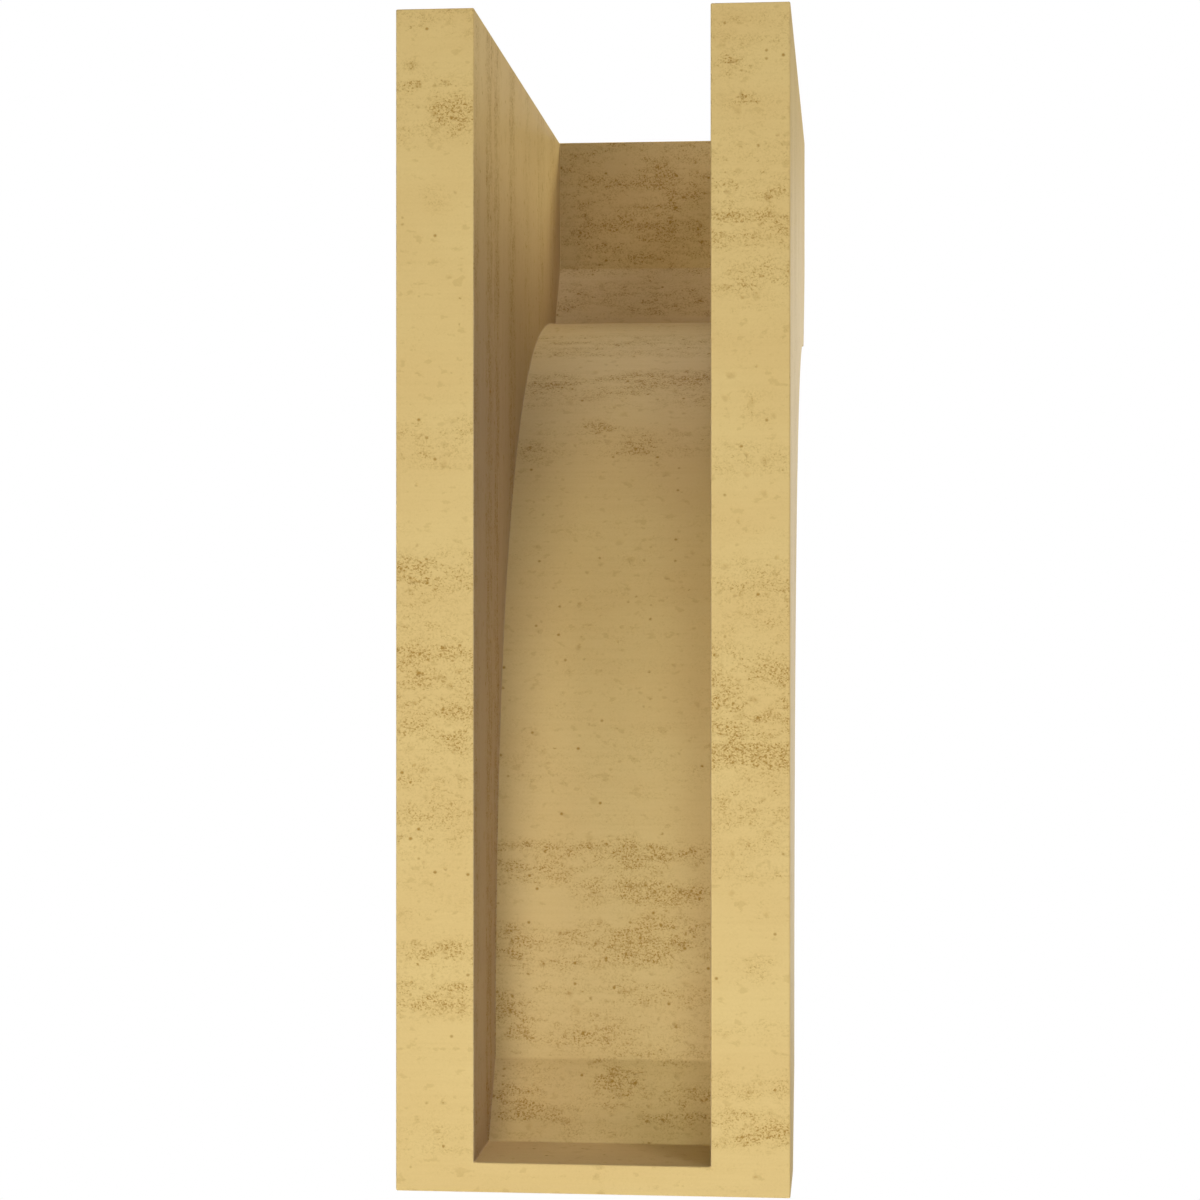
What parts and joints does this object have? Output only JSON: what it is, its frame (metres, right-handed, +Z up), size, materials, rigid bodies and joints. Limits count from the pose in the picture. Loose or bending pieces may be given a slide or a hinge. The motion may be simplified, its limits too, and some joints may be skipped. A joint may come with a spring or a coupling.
{
  "type": "faux wood corbel",
  "caption": "Wall corbel as a cast faux wood shell, open at the back and top, with a concave cove front and a slanted cap.",
  "frame": {"origin": "on the wall face, in the middle of the bottom rail of the back, on the plane of symmetry", "axes": "+Z up, +Y into the wall, so the corbel reaches out along -Y, and +X across its width"},
  "size_m": [0.1524, 0.3048, 0.4572],
  "materials": {
    "faux_wood": "matte golden tan primer on cast polyurethane, with fine dark pits and blotches in level bands"
  },
  "bodies": {
    "root": {"corbel_shell": "faux_wood"}
  },
  "joints": []
}
